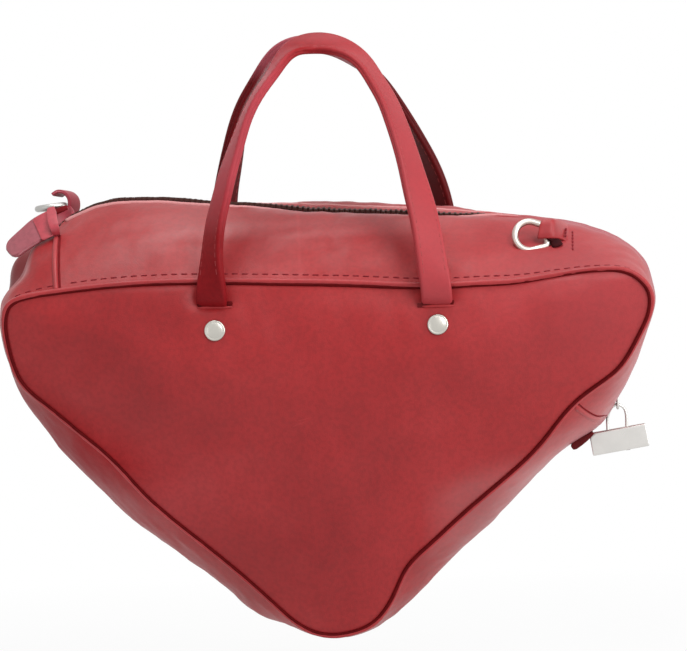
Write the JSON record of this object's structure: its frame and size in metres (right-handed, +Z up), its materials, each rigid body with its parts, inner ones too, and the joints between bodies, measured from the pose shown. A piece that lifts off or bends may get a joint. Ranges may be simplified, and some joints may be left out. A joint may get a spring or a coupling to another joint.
{
  "type": "leather handbag",
  "caption": "Triangular leather handbag with two strap handles, a zip over the top, D-rings and a small hanging padlock.",
  "frame": {"origin": "where a hand holds it: under the middle of the two handles, between them", "axes": "+Z up as carried, +X along the bag's width towards the end that carries the padlock, +Y to the back"},
  "size_m": [0.3552, 0.137, 0.3249],
  "materials": {
    "red_leather": "grained, soft sheen",
    "handle_leather": "grained, soft sheen",
    "lining_cloth": "plain weave",
    "zip_cloth": "woven tape",
    "zip_brass": "dulled",
    "nickel": "satin nickel plate"
  },
  "bodies": {
    "bag_body": {"front_panel": "red_leather", "front_welt": "red_leather", "front_lining": "lining_cloth", "front_end_band": "red_leather", "front_corner_band": "red_leather", "zip_tape_corner_front": "zip_cloth", "zip_teeth_corner_front": "zip_brass", "handle_anchor_front_left": "handle_leather", "rivet_cap_front_left": "nickel", "rivet_back_front_left": "nickel", "handle_anchor_front_right": "handle_leather", "rivet_cap_front_right": "nickel", "rivet_back_front_right": "nickel", "back_panel": "red_leather", "back_welt": "red_leather", "back_lining": "lining_cloth", "back_end_band": "red_leather", "back_corner_band": "red_leather", "zip_tape_corner_back": "zip_cloth", "zip_teeth_corner_back": "zip_brass", "handle_anchor_back_left": "handle_leather", "rivet_cap_back_left": "nickel", "rivet_back_back_left": "nickel", "handle_anchor_back_right": "handle_leather", "rivet_cap_back_right": "nickel", "rivet_back_back_right": "nickel", "lower_gusset": "red_leather", "left_end_gusset": "red_leather", "gusset_lining": "lining_cloth", "zip_left_end": "zip_cloth", "zip_bottom_stop": "nickel", "d_ring_right_loop": "red_leather", "d_ring_left_loop": "red_leather", "left_zip_tongue": "red_leather", "right_zip_tongue": "red_leather"},
    "mouth_front": {"front_zip_band": "red_leather", "zip_tape_front": "zip_cloth", "zip_teeth_front": "zip_brass"},
    "mouth_back": {"back_zip_band": "red_leather", "zip_tape_back": "zip_cloth", "zip_teeth_back": "zip_brass"},
    "handle_front": {"handle_front": "handle_leather"},
    "handle_back": {"handle_back": "handle_leather"},
    "ring_right": {"d_ring_right": "nickel"},
    "ring_left": {"d_ring_left": "nickel"},
    "slider": {"zip_slider": "nickel"},
    "puller": {"zip_puller": "nickel"},
    "shackle": {"padlock_shackle": "nickel"},
    "padlock": {"padlock_body": "nickel"},
    "key_plug": {"padlock_key_plug": "zip_brass"},
    "latch": {"padlock_latch": "zip_brass", "padlock_latch_spring": "nickel"}
  },
  "joints": [
    {"name": "mouth_front_open", "type": "hinge", "parent": "bag_body", "child": "mouth_front", "pos_m": [0, -0.06, -0.123], "axis": [1, 0, 0], "range_deg": [0, 20]},
    {"name": "mouth_back_open", "type": "hinge", "parent": "bag_body", "child": "mouth_back", "pos_m": [0, 0.06, -0.123], "axis": [-1, 0, 0], "range_deg": [0, 20]},
    {"name": "handle_front_swing", "type": "hinge", "parent": "bag_body", "child": "handle_front", "pos_m": [0, -0.06617, -0.134], "axis": [1, 0, 0], "range_deg": [0, 150]},
    {"name": "handle_back_swing", "type": "hinge", "parent": "bag_body", "child": "handle_back", "pos_m": [0, 0.06617, -0.134], "axis": [-1, 0, 0], "range_deg": [0, 150]},
    {"name": "d_ring_right_swing", "type": "hinge", "parent": "bag_body", "child": "ring_right", "pos_m": [0.12029, -0.03432, -0.09658], "axis": [0.0634, 0.8624, 0.5022], "range_deg": [0, 150]},
    {"name": "d_ring_left_swing", "type": "hinge", "parent": "bag_body", "child": "ring_left", "pos_m": [-0.13993, 0.01975, -0.08004], "axis": [0.0276, 0.8872, -0.4606], "range_deg": [0, 150]},
    {"name": "slider_slide", "type": "slide", "parent": "bag_body", "child": "slider", "axis": [0.4772, 0, 0.8788], "range_m": [0, 0.02]},
    {"name": "puller_swing", "type": "hinge", "parent": "slider", "child": "puller", "pos_m": [0.15742, 0, -0.18523], "axis": [0, -1, 0], "range_deg": [0, 55]},
    {"name": "padlock_swing", "type": "hinge", "parent": "puller", "child": "shackle", "pos_m": [0.15742, 0, -0.19373], "axis": [0, -1, 0], "range_deg": [0, 40]},
    {"name": "padlock_drop", "type": "slide", "parent": "shackle", "child": "padlock", "axis": [0.153, 0, -0.9882], "range_m": [0, 0.005]},
    {"name": "key_turn", "type": "hinge", "parent": "padlock", "child": "key_plug", "pos_m": [0.15742, 0, -0.19373], "axis": [-0.153, 0, 0.9882], "range_deg": [0, 90]},
    {"name": "latch_slide", "type": "slide", "parent": "padlock", "child": "latch", "axis": [-0.9882, 0, -0.153], "range_m": [0, 0.0006]}
  ],
  "couplings": [
    {"joint": "mouth_back_open", "follows": "mouth_front_open", "ratio": 1}
  ]
}
